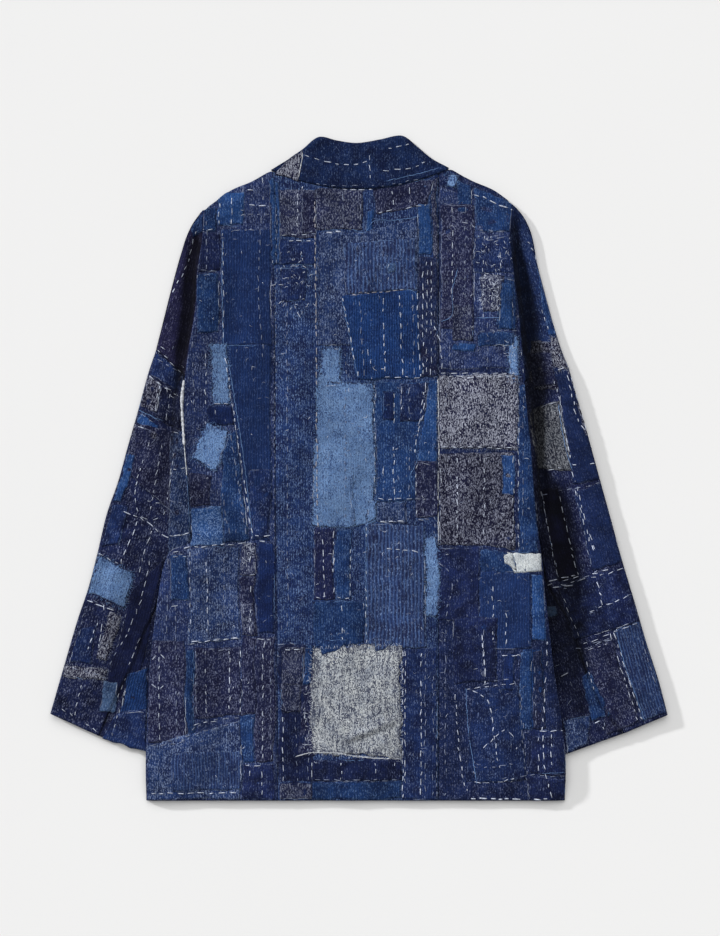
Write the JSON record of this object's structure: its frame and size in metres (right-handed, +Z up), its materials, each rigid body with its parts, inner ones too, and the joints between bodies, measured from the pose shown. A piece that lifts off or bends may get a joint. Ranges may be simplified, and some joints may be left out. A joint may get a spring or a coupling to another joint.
{
  "type": "patched boro jacket",
  "caption": "Indigo patched cotton jacket with a band collar and dropped sleeves, laid flat on its front with the back uppermost.",
  "frame": {"origin": "middle of the bounding box's underside, on the surface that the jacket lies on", "axes": "+Y along the centre back towards the neck, +X towards the wearer's right sleeve, +Z up out of the surface"},
  "size_m": [0.7724, 0.8325, 0.0178],
  "materials": {
    "indigo_body": "quilted indigo cotton, coarse weave, worn",
    "indigo_sleeve": "quilted indigo cotton, coarse weave, worn",
    "indigo_collar": "folded indigo cotton band with running stitches",
    "patch_blue": "plain blue cotton",
    "patch_pale": "faded pale blue cotton",
    "patch_white": "frayed undyed cotton with dark flecks",
    "patch_dark": "brown and navy cotton with pale flecks",
    "patch_melange": "blue melange cotton, ribbed"
  },
  "bodies": {
    "root": {"back_centre": "indigo_body", "back_left": "indigo_body", "back_right": "indigo_body", "front_left": "indigo_body", "front_right": "indigo_body", "sleeve_left": "indigo_sleeve", "sleeve_right": "indigo_sleeve", "under_sleeve_left": "indigo_sleeve", "under_sleeve_right": "indigo_sleeve", "collar_back": "indigo_collar", "collar_front_left": "indigo_collar", "collar_front_right": "indigo_collar", "patch_pale_centre": "patch_pale", "patch_pale_high": "patch_pale", "patch_pale_low": "patch_pale", "patch_pale_sleeve": "patch_pale", "patch_white_hem": "patch_white", "patch_white_torn": "patch_white", "patch_plain_blue": "patch_blue", "patch_deep_blue": "patch_blue", "patch_blue_pocket": "patch_blue", "patch_ribbed_pale": "patch_melange", "patch_ribbed_blue": "patch_melange", "patch_navy_long": "patch_melange", "patch_denim_side": "patch_melange", "patch_denim_hem": "patch_melange", "patch_melange_side": "patch_melange", "patch_melange_sleeve": "patch_melange", "patch_brown_small": "patch_dark", "patch_brown_neck": "patch_dark", "patch_brown_top": "patch_dark", "patch_brown_side": "patch_dark", "patch_speckle_high": "patch_dark", "patch_speckle_low": "patch_dark"}
  },
  "joints": []
}
